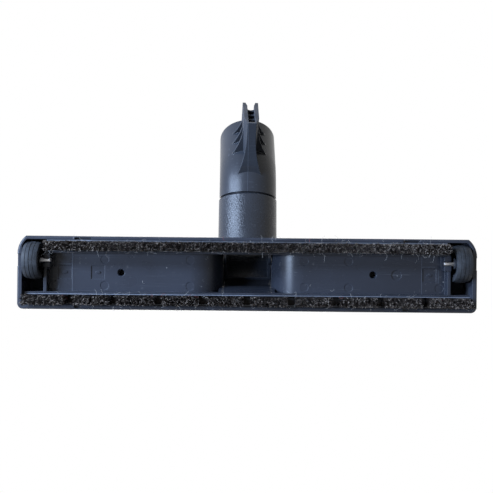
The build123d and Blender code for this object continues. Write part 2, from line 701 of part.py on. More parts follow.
def socket_plane():
    """Plane at the end of the bend: x along the socket, y away from it on the floor side."""
    turn = radians(BEND)
    end = elbow_path()[1] @ 1
    return Plane((0, end.X, end.Y), (0, cos(turn), sin(turn)), (-1, 0, 0))


def swept(radius):
    """Round bar along the whole of the elbow's centre line."""
    path = Plane.YZ * Wire(list(elbow_path()))
    section = Plane((0, elbow_start, 0), (1, 0, 0), (0, 1, 0)) * Circle(radius)
    return sweep(section, path)


def hook_crest(along):
    """Height of the hook's crest at a place along the socket."""
    share = (along - HOOK_PEAK[0]) / (HOOK_TIP[0] - HOOK_PEAK[0])
    return HOOK_PEAK[1] + share * (HOOK_TIP[1] - HOOK_PEAK[1])


def parking_hook():
    """Ribbed parking hook: a fork of two cheeks, a flared ramp plate in front and cross plates with curved gussets."""
    plane = socket_plane()
    outline = make_face(Polyline(RAMP_FOOT, HOOK_PEAK, HOOK_TIP, HOOK_FOOT, close=True))
    hook = extrude(plane * outline, HOOK_HALF + OVERCUT, both=True) & hook_fork(plane)
    hook += hook_ramp(plane)
    for i in range(HOOK_PLATES):
        hook += hook_plate(plane, HOOK_FIRST_PLATE + i * HOOK_PITCH, HOOK_FIRST_RUNG + i * HOOK_RUNG_PITCH)
    return hook


def hook_fork(plane):
    """The cheeks in plan: drawn in towards the ramp and parted by a slot that opens at the tip."""
    start, nose, tip = RAMP_FOOT[0] - OVERCUT, HOOK_PEAK[0], HOOK_TIP[0] + OVERCUT
    bevel = HOOK_TIP[0] - HOOK_TIP_LENGTH
    mouth = HOOK_SLOT_HALF + HOOK_TIP_BEVEL * (tip - bevel) / HOOK_TIP_LENGTH
    outer = [(HOOK_NOSE_HALF, start), (HOOK_NOSE_HALF, nose), (HOOK_ROOT_HALF, nose + HOOK_NOSE), (HOOK_HALF, tip)]
    inner = [(mouth, tip), (HOOK_SLOT_HALF, bevel), (HOOK_SLOT_HALF, start)]
    flat = Plane(plane.origin, (1, 0, 0), -plane.y_dir)
    return both_ends(extrude(flat * make_face(Polyline(*outer, *inner, close=True)), HOOK_PEAK[1] + OVERCUT, both=True))


def hook_ramp(plane):
    """Front plate of the hook, with edges that flare in a curve towards the neck."""
    foot, peak = Vector(*RAMP_FOOT), Vector(*HOOK_PEAK)
    length = (peak - foot).length
    rise = (peak - foot).normalized()
    origin = plane.from_local_coords(foot)
    up = plane.from_local_coords(foot + rise) - origin
    face_plane = Plane(origin, (1, 0, 0), Vector(1, 0, 0).cross(up))
    top = HOOK_NOSE_HALF
    knee = 0.75 * length
    waist = (top + (HOOK_RAMP_FOOT_HALF - top) * 0.34, 0.32 * length)
    flare = ThreePointArc((HOOK_RAMP_FOOT_HALF, 0), waist, (top, knee))
    side = flare + Line((top, knee), (top, length)) + Line((top, length), (0, length))
    side += Line((HOOK_RAMP_FOOT_HALF, 0), (0, 0))
    return extrude(face_plane * make_face(side + mirror(side, Plane.YZ)), HOOK_RAMP)


def hook_plate(plane, foot, rung):
    """Cross plate from its foot on the tube to the crest: a dipped rung and a curved gusset on each side."""
    lean = atan2(rung - foot, hook_crest(rung) - GUSSET_FOOT)
    origin = plane.from_local_coords(Vector(foot - GUSSET_FOOT * tan(lean), 0))
    face_plane = Plane(origin, (1, 0, 0), plane.x_dir * cos(lean) - plane.y_dir * sin(lean))
    crest = (hook_crest(rung) - HOOK_RUNG_DROP) / cos(lean)
    half = HOOK_SLOT_HALF + HOOK_PLATE_SINK
    flank = HOOK_ROOT_HALF - HOOK_PLATE_SINK
    top = crest - GUSSET_DROP
    dip = ThreePointArc((-half, crest), (0, crest - HOOK_RUNG_DIP), (half, crest))
    waist = (flank + (GUSSET_HALF - flank) * 0.3, GUSSET_FOOT + (top - GUSSET_FOOT) * 0.42)
    flare = ThreePointArc((flank, top), waist, (GUSSET_HALF, GUSSET_FOOT))
    side = Line((half, crest), (flank, top)) + flare
    side += Line((GUSSET_HALF, GUSSET_FOOT), (GUSSET_HALF, 0)) + Line((GUSSET_HALF, 0), (0, 0))
    return extrude(face_plane * make_face(dip + side + mirror(side, Plane.YZ)), HOOK_PLATE / 2, both=True)


def swivel_elbow():
    """Bent wand socket with a spigot that turns in the neck, and the parking hook under it."""
    body = swept(ELBOW_R) + parking_hook()
    body += neck_rod(SPIGOT_R, spigot_end, elbow_start + OVERCUT)
    body -= swept(ELBOW_R - ELBOW_WALL)
    body -= neck_rod(SPIGOT_R - SPIGOT_WALL, spigot_end - OVERCUT, elbow_start + SPIGOT_WALL)
    plane = socket_plane()
    mouth = Plane(plane.from_local_coords(Vector(SOCKET_STRAIGHT, 0)), (1, 0, 0), plane.x_dir)
    body -= mouth * Pos(0, 0, (OVERCUT - SOCKET_DEPTH) / 2) * Cylinder(SOCKET_BORE_R, SOCKET_DEPTH + OVERCUT)
    lead_in = Cone(SOCKET_BORE_R, SOCKET_BORE_R + SOCKET_LEAD_IN, SOCKET_LEAD_IN)
    body -= mouth * Pos(0, 0, -SOCKET_LEAD_IN / 2) * lead_in
    groove = SPIGOT_R - RING_REACH - RING_CLEAR
    near, far = ring_span(RING_CLEAR)
    body -= neck_rod(SPIGOT_R + OVERCUT, near, far) - neck_rod(groove, near, far)
    return in_neck(Rot(0, REST_SWIVEL, 0) * body)


def ring_span(clear=0.0):
    """Ends of the retaining ring along the neck."""
    far = NECK_LENGTH - RING_DEPTH
    return far - RING_THICK - clear, far + clear


def retaining_ring():
    """Split ring that snaps into the spigot and holds the elbow in the neck."""
    near, far = ring_span()
    ring = neck_rod(SPIGOT_R + RING_REACH, near, far) - neck_rod(SPIGOT_R - RING_REACH, near - OVERCUT, far + OVERCUT)
    half = RING_SPLIT / 2
    return in_neck(ring - block(-half, half, near - OVERCUT, far + OVERCUT, 0, NECK_R))


def swivel_seal():
    """Felt washer between the spigot's end and the shoulder in the neck."""
    near = spigot_end - SEAL_THICK
    washer = neck_rod(SPIGOT_R, near, spigot_end - RING_CLEAR / 2)
    return in_neck(washer - neck_rod(SPIGOT_R - SPIGOT_WALL, near - OVERCUT, spigot_end))


def drum_felt_front():
    """Curved felt under the lip of the hump, wiping the drum."""
    ring = rod_x(pivot_y, PIVOT_Z, felt_r, -DRUM_HALF, DRUM_HALF)
    ring -= rod_x(pivot_y, PIVOT_Z, DRUM_R + FELT_GAP, -hump_half, hump_half)
    wedge = Polyline((pivot_y, PIVOT_Z), polar(lip_angle, hump_r * 2), polar(lip_angle + FELT_ARC, hump_r * 2), close=True)
    return ring & along_x(make_face(wedge), -DRUM_HALF, DRUM_HALF)


def rear_felt_bed():
    """Ledge in the cover's rear wall on which the rear felt lies."""
    foot = PARTING_Z + TONGUE_HEIGHT + PARTING_GAP
    return block(-DRUM_HALF, DRUM_HALF, wall_face, wall_face + FELT_WIDTH, foot, PIVOT_Z)


def drum_felt_rear():
    """Felt strip in the cover's rear wall, wiping the drum under the neck."""
    return rear_felt_bed() - rod_x(pivot_y, PIVOT_Z, DRUM_R + FELT_GAP, -hump_half, hump_half)


def cover_screws():
    """Pan-head screws that hold the cover, driven from inside the brush channels."""
    top = roof_top + SCREW_SEAT - ROOF_THICK
    screws = []
    for x, y in screw_places():
        head = post(x, y, SCREW_HEAD_R, top - SCREW_HEAD, top)
        screws.append(head + post(x, y, SCREW_R, top, top + SCREW_LENGTH))
    return Compound(screws)


front_bristle_y = front_center + FRONT_CARRIER_WIDTH / 2 - BRISTLE_FLANGE - BRISTLE_WIDTH / 2
rear_bristle_y = rear_center - REAR_CARRIER_WIDTH / 2 + BRISTLE_FLANGE + BRISTLE_WIDTH / 2
front_half = front_carrier_half
rear_half = bay_wall_x - CARRIER_CLEAR

pieces = {
    "base_housing": base_housing(),
    "top_cover": top_cover(),
    "front_brush_carrier": carrier(front_center, FRONT_CARRIER_WIDTH, front_half, front_bristle_y),
    "front_bristles": front_bristles(front_bristle_y),
    "rear_brush_carrier": carrier(rear_center, REAR_CARRIER_WIDTH, rear_half, rear_bristle_y),
    "rear_bristles": bristle_bar(-rear_bristle_half, rear_bristle_half, rear_bristle_y),
    "lower_neck": lower_neck(),
    "swivel_elbow": swivel_elbow(),
    "retaining_ring": retaining_ring(),
    "swivel_seal": swivel_seal(),
    "drum_felt_front": drum_felt_front(),
    "drum_felt_rear": drum_felt_rear(),
    "cover_screws": cover_screws(),
}
for name, side in (("left", 1), ("right", -1)):
    pieces["wheel_hub_" + name] = wheel_hub(side)
    pieces["tyre_" + name] = tyre(side)
    pieces["axle_" + name] = axle(side)
    pieces["pivot_pin_" + name] = pivot_pin(side)

# The origin is under the middle of the whole object, on the floor.
box = Compound(list(pieces.values())).bounding_box()
shift_y = -(box.min.Y + box.max.Y) / 2

if __name__ == "__main__":
    os.makedirs("parts", exist_ok=True)
    for name, shape in pieces.items():
        export_step(Pos(0, shift_y, 0) * shape, f"parts/{name}.step")
    print("shift_y", round(shift_y, 4))
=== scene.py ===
import json
import math

import bpy
import numpy as np
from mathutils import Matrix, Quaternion, Vector


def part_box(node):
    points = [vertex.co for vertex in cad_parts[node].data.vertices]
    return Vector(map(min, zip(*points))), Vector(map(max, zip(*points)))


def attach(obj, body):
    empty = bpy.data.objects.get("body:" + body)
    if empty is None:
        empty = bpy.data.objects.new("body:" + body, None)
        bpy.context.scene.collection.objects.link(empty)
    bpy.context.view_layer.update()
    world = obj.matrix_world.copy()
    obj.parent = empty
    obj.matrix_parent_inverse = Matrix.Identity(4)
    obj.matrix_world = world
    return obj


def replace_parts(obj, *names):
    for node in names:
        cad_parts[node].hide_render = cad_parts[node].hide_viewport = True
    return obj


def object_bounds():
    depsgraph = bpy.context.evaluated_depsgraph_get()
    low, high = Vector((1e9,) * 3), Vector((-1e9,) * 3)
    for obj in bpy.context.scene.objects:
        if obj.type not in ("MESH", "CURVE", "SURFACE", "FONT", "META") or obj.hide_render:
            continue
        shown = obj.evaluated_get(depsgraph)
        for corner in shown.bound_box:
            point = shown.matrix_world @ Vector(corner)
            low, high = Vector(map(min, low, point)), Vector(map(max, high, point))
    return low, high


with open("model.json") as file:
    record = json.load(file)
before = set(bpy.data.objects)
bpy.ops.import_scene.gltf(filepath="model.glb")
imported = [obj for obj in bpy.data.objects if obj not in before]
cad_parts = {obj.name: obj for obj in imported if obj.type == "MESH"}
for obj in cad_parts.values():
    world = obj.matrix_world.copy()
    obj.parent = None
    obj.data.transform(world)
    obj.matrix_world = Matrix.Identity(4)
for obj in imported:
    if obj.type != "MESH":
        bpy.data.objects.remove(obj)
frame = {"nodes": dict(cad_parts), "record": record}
cad_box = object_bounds()
nodes = frame["nodes"]

# Base housing: a shallow tray moulded in charcoal plastic with a satin grain. Its flat sole plate
# sits between the two brush strips and curves up into the suction mouth. Floor grit has left fine
# scuffs along the head, edges have worn paler, and specks of dust cling to the plate.


class Wired:
    """A value in a material's node tree; sums written with it become nodes."""

    def __init__(self, tree, socket=None):
        self.tree = tree
        self.socket = socket

    def node(self, kind, settings=None, sockets=None, out=0):
        """Adds a node, sets it up, feeds its sockets and gives one of its outputs."""
        made = self.tree.nodes.new("ShaderNode" + kind)
        for name, value in (settings or {}).items():
            if name == "stops":
                for _ in value[2:]:
                    made.color_ramp.elements.new(0.5)
                for element, (place, colour) in zip(made.color_ramp.elements, value):
                    element.position = place
                    element.color = (*colour, 1)
            else:
                setattr(made, name, value)
        for name, value in (sockets or {}).items():
            if isinstance(value, Wired):
                self.tree.links.new(value.socket, made.inputs[name])
            else:
                made.inputs[name].default_value = value
        return Wired(self.tree, made.outputs[out])

    def maths(self, operation, first, second):
        return self.node("Math", {"operation": operation}, {0: first, 1: second})

    def __add__(self, other):
        return self.maths("ADD", self, other)

    def __sub__(self, other):
        return self.maths("SUBTRACT", self, other)

    def __rsub__(self, other):
        return self.maths("SUBTRACT", other, self)

    def __mul__(self, other):
        return self.maths("MULTIPLY", self, other)

    __radd__ = __add__
    __rmul__ = __mul__

    def __abs__(self):
        return self.maths("ABSOLUTE", self, 0.0)

    def most(self, other):
        return self.maths("MAXIMUM", self, other)

    def step(self, low, high):
        """A smooth rise from 0 at low to 1 at high."""
        ends = {"Value": self, "From Min": low, "From Max": high}
        return self.node("MapRange", {"interpolation_type": "SMOOTHSTEP"}, ends)

    def blend(self, first, second):
        """The first colour where this value is 0, the second where it is 1."""
        mix = {"Factor": self, 6: first, 7: second}
        return self.node("Mix", {"data_type": "RGBA"}, mix, out=2)

    def vector(self, operation, other=None, out="Vector"):
        terms = {0: self} if other is None else {0: self, 1: other}
        return self.node("VectorMath", {"operation": operation}, terms, out)

    def axis(self, letter):
        return self.node("SeparateXYZ", sockets={"Vector": self}, out=letter)

    def into(self, socket):
        self.tree.links.new(self.socket, socket)


def finish_of(name):
    """A new material, its wiring and its shader."""
    material = bpy.data.materials.new(name)
    material.use_nodes = True
    shader = material.node_tree.nodes["Principled BSDF"]
    return material, Wired(material.node_tree), shader


def spread(place, scale, detail=3.0, stretch=(1, 1, 1)):
    """Cloudy noise over the object, in cycles per metre, stretched along the axes."""
    cycles = tuple(scale * s for s in stretch)
    spot = place.node("Mapping", sockets={"Vector": place, "Scale": cycles})
    return spot.node("TexNoise", sockets={"Vector": spot, "Scale": 1.0, "Detail": detail})


def specks(place, scale, reach, share):
    """Round specks in a share of the cells of a scatter, with reach as their radius in cells."""
    core = 0.6 * reach
    sure = 0.8 * share
    cells = {"Vector": place, "Scale": scale}
    away = place.node("TexVoronoi", sockets=cells, out="Distance")
    pick = place.node("TexVoronoi", sockets=cells, out="Color")
    chance = place.node("SeparateColor", sockets={"Color": pick}, out="Red")
    strength = place.node("SeparateColor", sockets={"Color": pick}, out="Green")
    return (1 - away.step(core, reach)) * chance.step(1 - share, 1 - sure) * strength


def moulded(name, colour, rough, grain, grain_height, dust, gloss=0.15, marks=None, matt=None):
    """Moulded plastic: grained skin, slow drift of tone, worn edges, scuffs along the head, dust.

    The grain is in cycles per metre and its height in metres. The marks are fine raised lines, and
    matt tells which places are duller than the rest.
    """
    scuff_grey, edge_grey = (0.3, 0.31, 0.33, 1), (0.3, 0.32, 0.36, 1)
    fluff_grey, speck_grey = (0.36, 0.35, 0.34, 1), (0.6, 0.58, 0.55, 1)
    mark_grey = (0.16, 0.18, 0.22, 1)
    tone_swing, scuff_share, edge_share, mark_share = 0.16, 0.14, 0.22, 0.3
    smear_stretch, scuff_stretch = (0.25, 1, 1), (0.03, 1, 1)
    edge_radius = 0.0005
    grain_rise, mark_rise, bump_strength = 0.5, 2.0, 0.6
    matt_rise = 0.45

    material, wire, shader = finish_of(name)
    place = wire.node("TexCoord", out="Object")
    drift = spread(place, scale=26).step(0.3, 0.7)
    smear = spread(place, scale=60, detail=4.0, stretch=smear_stretch).step(0.45, 0.75)
    skin = spread(place, scale=grain, detail=2.0)
    scuffs = spread(place, scale=900, stretch=scuff_stretch).step(0.6, 0.74)
    scuffs = scuffs * spread(place, scale=70).step(0.4, 0.65)
    fluff = spread(place, scale=420, detail=6.0).step(0.62, 0.8)
    fluff = fluff * spread(place, scale=35).step(0.4, 0.7)
    dots = specks(place, scale=260, reach=0.14, share=0.05)
    edge = wire.node("Bevel", {"samples": 6}, {"Radius": edge_radius})
    face = wire.node("NewGeometry", out="Normal")
    rubbed = (1 - edge.vector("DOT_PRODUCT", face, "Value")).step(0.03, 0.25)
    rubbed = rubbed * (0.5 + 0.5 * drift)

    deep = tuple((1 - tone_swing) * c for c in colour)
    light = tuple((1 + tone_swing) * c for c in colour)
    tone = drift.blend((*deep, 1), (*light, 1))
    tone = (scuffs * scuff_share).blend(tone, scuff_grey)
    tone = (rubbed * edge_share).blend(tone, edge_grey)
    tone = (fluff * dust).blend(tone, fluff_grey)
    tone = (dots * dust * 2.0).blend(tone, speck_grey)
    height = skin * grain_rise
    if marks:
        line = marks(place)
        tone = (line * mark_share).blend(tone, mark_grey)
        height = height + line * mark_rise
    tone.into(shader.inputs["Base Color"])
    sheen = rough + drift * 0.05 + smear * 0.1 + scuffs * 0.12 + fluff * 0.2
    if matt:
        sheen = sheen + matt(place) * matt_rise
    sheen.into(shader.inputs["Roughness"])
    shader.inputs["Specular IOR Level"].default_value = gloss
    lumps = {"Height": height, "Distance": grain_height, "Strength": bump_strength, "Normal": edge}
    wire.node("Bump", sockets=lumps).into(shader.inputs["Normal"])
    return material


def insert_lines(place):
    """Hair-line ridges where inserts met in the mould of the sole plate."""
    joint_x, branch_end_x, end_x = 0.1164, 0.1255, 0.1275
    branch_y, end_front_y, end_rear_y = 0.0056, -0.0052, 0.0036
    line_core, line_edge, blur = 0.00012, 0.00028, 1e-5
    along = abs(place.axis("X"))
    across = place.axis("Y") - head_y
    on_plate = 1 - abs(place.axis("Z") - plate_z).step(0.0002, 0.0004)

    def line(value, at):
        return 1 - abs(value - at).step(line_core, line_edge)

    def between(value, low, high):
        return value.step(low - blur, low + blur) * (1 - value.step(high - blur, high + blur))

    joint = line(along, joint_x)
    branch = line(across, branch_y) * between(along, joint_x, branch_end_x)
    end = line(along, end_x) * between(across, end_front_y, end_rear_y)
    return joint.most(branch).most(end) * on_plate


def dress(node, material):
    """Gives a piece of the CAD frame its finish."""
    mesh = nodes[node].data
    mesh.materials.clear()
    mesh.materials.append(material)


low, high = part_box("base_housing")
head_y = (low[1] + high[1]) / 2
plate_z = 0.018
shell = moulded(
    "shell_plastic",
    colour=(0.03, 0.034, 0.0455),
    rough=0.24,
    grain=2600,
    grain_height=0.00004,
    dust=0.3,
    gloss=0.2,
    marks=insert_lines,
)
dress("base_housing", shell)

# Brush strips: each is an extruded plastic back that snaps over rails into its channel, with a
# groove full of natural bristle. The hair is brown and grey mixed, clumped and worn uneven at the
# tips. The front strip is parted by even gaps that let crumbs through; the rear one is not.

# The carriers' pale grey is partly painted highlight for the sheen along their lips and partly a
# greyer plastic; the retaining ring shares this finish.
strip_plastic = moulded(
    "strip_plastic",
    colour=(0.19, 0.21, 0.255),
    rough=0.24,
    grain=1500,
    grain_height=0.00003,
    dust=0.4,
    gloss=0.5,
)
dress("front_brush_carrier", strip_plastic)
dress("rear_brush_carrier", strip_plastic)

hair_tones = [
    (0.0, (0.015, 0.0112, 0.0098)),
    (0.35, (0.058, 0.044, 0.035)),
    (0.65, (0.19, 0.15, 0.122)),
    (1.0, (0.8, 0.68, 0.58)),
]
bristle, wire, shader = finish_of("natural_bristle")
tone = wire.node("Attribute", {"attribute_name": "tone"}, out="Fac")
tone.node("ValToRGB", {"stops": hair_tones}, {"Fac": tone}).into(shader.inputs["Base Color"])
(0.5 + tone * 0.2).into(shader.inputs["Roughness"])
shader.inputs["Specular IOR Level"].default_value = 0.12


def strands(name, paths, thick, shades, material, taper):
    """Mesh of three-sided strands along rows of points, with a tone for each strand or point."""
    total, steps = paths.shape[:2]
    corners = 3
    tiny = 1e-12
    askew = np.array([0.31, 0.23, 0.92])
    way = np.gradient(paths, axis=1)
    way /= np.linalg.norm(way, axis=2, keepdims=True) + tiny
    side = np.cross(way, askew)
    side /= np.linalg.norm(side, axis=2, keepdims=True) + tiny
    other = np.cross(way, side)
    size = thick[:, None, None] * taper[None, :, None]
    turns = [2 * math.pi * k / corners for k in range(corners)]
    rings = [paths + size * (math.cos(a) * side + math.sin(a) * other) for a in turns]
    points = np.stack(rings, 2).reshape(-1, 3)

    first = np.arange(total)[:, None] * steps * corners
    ring = first + np.arange(steps - 1) * corners
    faces = []
    for k in range(corners):
        after = (k + 1) % corners
        wall = [ring + k, ring + after, ring + corners + after, ring + corners + k]
        faces += np.stack(wall, -1).reshape(-1, 4).tolist()
    faces += (first + np.arange(corners)[::-1]).tolist()
    faces += (first + (steps - 1) * corners + np.arange(corners)).tolist()

    mesh = bpy.data.meshes.new(name)
    mesh.from_pydata(points.tolist(), [], faces)
    layer = mesh.attributes.new("tone", "FLOAT", "POINT")
    tones = np.repeat(shades.ravel(), len(points) // shades.size)
    layer.data.foreach_set("value", tones.astype(np.float32))
    mesh.polygons.foreach_set("use_smooth", [True] * len(mesh.polygons))
    mesh.materials.append(material)
    piece = bpy.data.objects.new(name, mesh)
    bpy.context.collection.objects.link(piece)
    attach(piece, "head")
    return piece


def hairs(name, spans, low, high, seed):
    """Clumps of tapering hairs rooted in a strip's groove, between the corners low and high."""
    clump_spacing, hairs_each, thinnest, thickest = 0.0006, 4, 0.00008, 0.00015
    groove_share, margin, root_depth = 0.49, 0.0001, 0.0004
    flare_zone, end_flare, side_flare = 0.003, 0.0011, 0.0004
    clump_wear, hair_wear = 0.0006, 0.0004
    clump_bend, hair_bend, hair_scatter = 0.00025, 0.0002, 0.00025
    stray_share, stray_bend = 0.012, 0.0014
    waist_share, waist_bow = 0.87, 0.25
    pale_share, pale_lift, tone_swing = 0.09, 0.45, 0.16
    # Tone along each hair from root to waist to tip: painted shade darkens it deep in the tuft,
    # and the tips are paler with wear.
    root_shade_to_tip = np.array([0.12, 0.42, 1.2])
    taper_to_tip = np.array([1.0, 0.95, 0.8])

    dice = np.random.default_rng(seed)
    width = high[1] - low[1]
    middle = (low[1] + high[1]) / 2
    clumps = []
    for start, stop in spans:
        count = int((stop - start) * width / clump_spacing ** 2)
        x = dice.uniform(start, stop, count)
        near_start = np.clip(1 - (x - start) / flare_zone, 0, 1)
        near_stop = np.clip(1 - (stop - x) / flare_zone, 0, 1)
        across = dice.uniform(-groove_share, groove_share, count)
        clumps.append(np.stack([x, across, near_stop - near_start], 1))
    clumps = np.concatenate(clumps)
    number = len(clumps)
    shade = dice.beta(1.0, 2.2, number)
    shade = np.clip(shade + pale_lift * (dice.random(number) < pale_share), 0, 1)
    cut = np.abs(dice.normal(0, clump_wear, number))
    bent = dice.normal(0, clump_bend, (number, 2))

    owner = np.repeat(np.arange(number), hairs_each)
    total = len(owner)
    scatter = dice.normal(0, hair_scatter, (total, 2))
    strip_start = min(start for start, stop in spans)
    strip_stop = max(stop for start, stop in spans)
    x = np.clip(clumps[owner, 0] + scatter[:, 0], strip_start, strip_stop)
    y = middle + clumps[owner, 1] * width + scatter[:, 1]
    y = np.clip(y, low[1] + margin, high[1] - margin)
    root = np.stack([x, y, np.full(total, high[2] - root_depth)], 1)
    edge = clumps[owner, 1] * 2
    lean = bent[owner] + dice.normal(0, hair_bend, (total, 2))
    lean[:, 0] += clumps[owner, 2] * dice.uniform(0, end_flare, total)
    lean[:, 1] += edge * np.abs(edge) * dice.uniform(0, side_flare, total)
    stray = dice.random(total) < stray_share
    lean[stray] += dice.normal(0, stray_bend, (stray.sum(), 2))
    tip_z = low[2] + margin + cut[owner] + np.abs(dice.normal(0, hair_wear, total))
    tip = np.stack([x + lean[:, 0], y + lean[:, 1], tip_z], 1)
    waist = root * (1 - waist_share) + tip * waist_share
    waist[:, :2] -= lean * waist_bow
    paths = np.stack([root, waist, tip], 1)
    shades = np.clip(shade[owner] + dice.normal(0, tone_swing, total), 0, 1)
    thick = dice.uniform(thinnest, thickest, total)
    return strands(name, paths, thick, shades[:, None] * root_shade_to_tip, bristle, taper_to_tip)


front_low, front_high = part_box("front_bristles")
pitch, gap, gaps = 0.0286, 0.006, 9
cuts = [(i - (gaps - 1) / 2) * pitch for i in range(gaps)]
starts = [front_low[0]] + [c + gap / 2 for c in cuts]
stops = [c - gap / 2 for c in cuts] + [front_high[0]]
tufts = list(zip(starts, stops))
half = len(tufts) // 2
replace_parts(hairs("front_hair_left", tufts[half:], front_low, front_high, 3), "front_bristles")
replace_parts(hairs("front_hair_right", tufts[:half], front_low, front_high, 4), "front_bristles")
rear_low, rear_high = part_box("rear_bristles")
left_span, right_span = (0, rear_high[0]), (rear_low[0], 0)
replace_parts(hairs("rear_hair_left", [left_span], rear_low, rear_high, 5), "rear_bristles")
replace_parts(hairs("rear_hair_right", [right_span], rear_low, rear_high, 6), "rear_bristles")

# Painted shade in the front strip's gaps: a dark pad stands in for the shadow deep between the
# tufts, so the groove looks dark there. A thin pad lies between each two tufts, held by the walls
# of the groove.

gap_shade = moulded(
    "painted_gap_shade",
    colour=(0.012, 0.01, 0.009),
    rough=0.6,
    grain=1500,
    grain_height=0.00003,
    dust=0.2,
)
pad_thick, pad_clear = 0.0008, 0.0001
pad_top = front_high[2] - pad_clear
corners = []
for c in cuts:
    for x in (c - gap / 2, c + gap / 2):
        for y in (front_low[1] + pad_clear, front_high[1] - pad_clear):
            corners += [(x, y, pad_top - pad_thick), (x, y, pad_top)]
sides = [(0, 1, 3, 2), (4, 6, 7, 5), (0, 4, 5, 1), (2, 3, 7, 6), (0, 2, 6, 4), (1, 5, 7, 3)]
mesh = bpy.data.meshes.new("painted_gap_shade")
mesh.from_pydata(corners, [], [[8 * i + k for k in side] for i in range(gaps) for side in sides])
mesh.materials.append(gap_shade)
gap_shade_pad = bpy.data.objects.new("painted_gap_shade", mesh)
bpy.context.collection.objects.link(gap_shade_pad)
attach(gap_shade_pad, "head")

# Caught lint: stray pale hairs and a few red threads picked up from floors. They curl over the
# edges of the brush strips and lie on the sole plate, held by the bristles and by static.

red, palest = 1.0, 0.75
lint_tones = [
    (0.0, (0.2, 0.18, 0.16)),
    (0.7, (0.6, 0.57, 0.53)),
    (0.9, (0.5, 0.3, 0.28)),
    (red, (0.45, 0.075, 0.055)),
]
lint, wire, shader = finish_of("caught_lint")
tone = wire.node("Attribute", {"attribute_name": "tone"}, out="Fac")
tone.node("ValToRGB", {"stops": lint_tones}, {"Fac": tone}).into(shader.inputs["Base Color"])
(0.6 + tone * 0.1).into(shader.inputs["Roughness"])


def curls(name, spots, lengths, curl, rise, shades, seed):
    """Fine fibres that wander from their spots in smooth curls, nearly level."""
    steps, wobble = 9, 0.12
    thinnest, thickest, end_taper = 0.00005, 0.00009, 0.7
    box_margin = 0.0002
    dice = np.random.default_rng(seed)
    total = len(spots)
    heading = dice.uniform(0, 2 * math.pi, total)
    bend = dice.normal(0, curl, total)
    stride = lengths / (steps - 1)
    paths = np.empty((total, steps, 3))
    paths[:, 0] = spots
    for i in range(1, steps):
        heading = heading + bend / (steps - 1) + dice.normal(0, wobble, total)
        ahead = np.stack([np.cos(heading), np.sin(heading), np.zeros(total)], 1)
        paths[:, i] = paths[:, i - 1] + ahead * stride[:, None]
        arch = math.sin(math.pi * i / (steps - 1))
        paths[:, i, 2] = spots[:, 2] + rise * arch * dice.random(total)
    front, rear = cad_box[0][1] + box_margin, cad_box[1][1] - box_margin
    paths[..., 1] = np.clip(paths[..., 1], front, rear)
    thick = dice.uniform(thinnest, thickest, total)
    return strands(name, paths, thick, shades, lint, np.linspace(1, end_taper, steps))


def edge_lint(name, count, ends, edges, first_edge_share, red_share, longest, seed):
    """Lint along both edges of a brush strip, some of it red."""
    edge_scatter, lowest, highest = 0.0005, 0.0012, 0.004
    shortest, curl, rise = 0.002, 2.0, 0.0006
    along = lint_dice.uniform(*ends, count)
    edge = np.where(lint_dice.random(count) < first_edge_share, *edges)
    across = edge + lint_dice.normal(0, edge_scatter, count)
    spots = np.stack([along, across, lint_dice.uniform(lowest, highest, count)], 1)
    dyed = lint_dice.random(count) < red_share
    shades = np.where(dyed, red, lint_dice.uniform(0, palest, count))
    lengths = lint_dice.uniform(shortest, longest, count)
    curls(name, spots, lengths, curl, rise, shades, seed)


lint_dice = np.random.default_rng(11)
edge_lint(
    "rear_lint",
    count=150,
    ends=(rear_low[0], rear_high[0]),
    edges=(rear_low[1] - 0.0005, rear_high[1] + 0.0003),
    first_edge_share=0.5,
    red_share=0.03,
    longest=0.006,
    seed=12,
)
edge_lint(
    "front_lint",
    count=130,
    ends=(front_low[0], front_high[0]),
    edges=(front_high[1] + 0.0003, front_low[1] - 0.0002),
    first_edge_share=0.6,
    red_share=0.06,
    longest=0.005,
    seed=13,
)
resting = [
    (0.026, 0.010),
    (-0.0412, -0.0085),
    (-0.113, 0.0105),
    (0.068, -0.007),
    (-0.0555, -0.0105),
]
lint_clear = 0.00008
spots = np.array([(x, head_y + y, plate_z - lint_clear) for x, y in resting])
lengths = np.linspace(0.002, 0.0035, len(resting))
shades = np.linspace(0.3, 0.7, len(resting))
curls("plate_lint", spots, lengths, curl=2.4, rise=0.0, shades=shades, seed=14)

# Wheels: a soft rubber tyre with moulded grooves on a plastic hub, free to turn on a bright steel
# axle. The axle sits in a bore of the end wall and snaps into a block on the sole plate.

rubber_deep, rubber_light = (0.0215, 0.024, 0.028, 1), (0.036, 0.04, 0.0465, 1)
chalk_grey, grit_grey = (0.077, 0.08, 0.087, 1), (0.16, 0.16, 0.16, 1)
tyre_edge_radius, grit_height = 0.0004, 0.0001
rubber, wire, shader = finish_of("soft_rubber")
place = wire.node("TexCoord", out="Object")
mottle = spread(place, scale=300).step(0.3, 0.7)
grit = spread(place, scale=1800, detail=5.0).step(0.6, 0.75)
chalk = spread(place, scale=150, detail=4.0).step(0.45, 0.7)
tone = mottle.blend(rubber_deep, rubber_light)
tone = (chalk * 0.35).blend(tone, chalk_grey)
(grit * 0.25).blend(tone, grit_grey).into(shader.inputs["Base Color"])
(0.5 + mottle * 0.15).into(shader.inputs["Roughness"])
shader.inputs["Specular IOR Level"].default_value = 0.2
edge = wire.node("Bevel", {"samples": 6}, {"Radius": tyre_edge_radius})
lumps = {"Height": grit, "Distance": grit_height, "Strength": 0.4, "Normal": edge}
wire.node("Bump", sockets=lumps).into(shader.inputs["Normal"])

steel_deep, steel_light = (0.38, 0.385, 0.4, 1), (0.55, 0.555, 0.57, 1)
drawn_along = (0.05, 1, 1)
steel, wire, shader = finish_of("drawn_steel")
place = wire.node("TexCoord", out="Object")
draw = spread(place, scale=3000, detail=2.0, stretch=drawn_along)
draw.blend(steel_deep, steel_light).into(shader.inputs["Base Color"])
(0.3 + draw * 0.2).into(shader.inputs["Roughness"])
shader.inputs["Metallic"].default_value = 1.0

